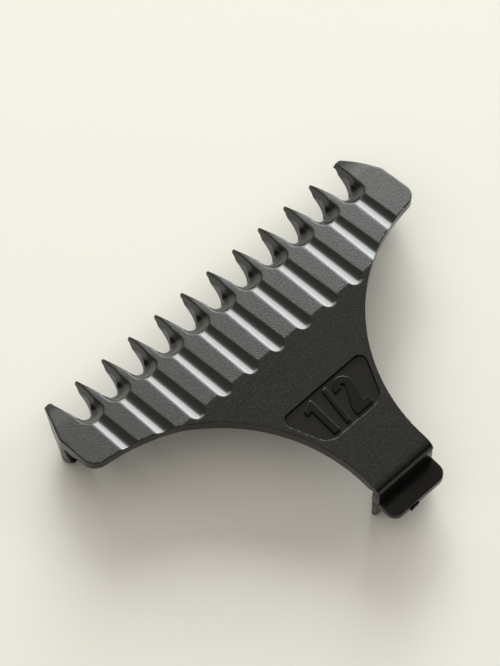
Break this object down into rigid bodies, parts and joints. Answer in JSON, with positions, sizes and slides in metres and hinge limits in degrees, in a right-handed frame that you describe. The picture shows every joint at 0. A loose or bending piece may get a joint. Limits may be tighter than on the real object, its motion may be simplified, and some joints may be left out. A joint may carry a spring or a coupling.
{
  "type": "trimmer guard comb",
  "caption": "Clip-on guard comb for a wide-blade hair trimmer: sloping grooved tooth row, waisted body with a recessed size label, and a sprung tail latch with a thumb tab.",
  "frame": {"origin": "on the surface the comb stands on, under the middle of its outline box", "axes": "+X along the tooth row, +Y towards the tooth tips, +Z out of the skin-side face"},
  "size_m": [0.042, 0.0316, 0.0069],
  "materials": {
    "moulded_black": "fine spark-eroded grain",
    "label_black": "satin",
    "latch_black": "satin with light grain"
  },
  "bodies": {
    "comb": {"body_plate": "moulded_black", "comb_plate": "moulded_black", "left_cheek": "moulded_black", "tooth_2": "moulded_black", "tooth_3": "moulded_black", "tooth_4": "moulded_black", "tooth_5": "moulded_black", "tooth_6": "moulded_black", "tooth_7": "moulded_black", "tooth_8": "moulded_black", "tooth_9": "moulded_black", "tooth_10": "moulded_black", "tooth_11": "moulded_black", "right_cheek": "moulded_black", "numeral_one": "label_black", "numeral_slash": "label_black", "numeral_two": "label_black"},
    "latch": {"latch_wall": "latch_black", "catch_lip": "latch_black", "catch_ridge": "latch_black", "thumb_tab": "latch_black", "gate_stub": "latch_black"}
  },
  "joints": [
    {"name": "latch_flex", "type": "hinge", "parent": "comb", "child": "latch", "pos_m": [0, -0.01275, 0.00625], "axis": [-1, 0, 0], "range_deg": [0, 8], "stiffness_Nm_per_rad": 0.1}
  ]
}
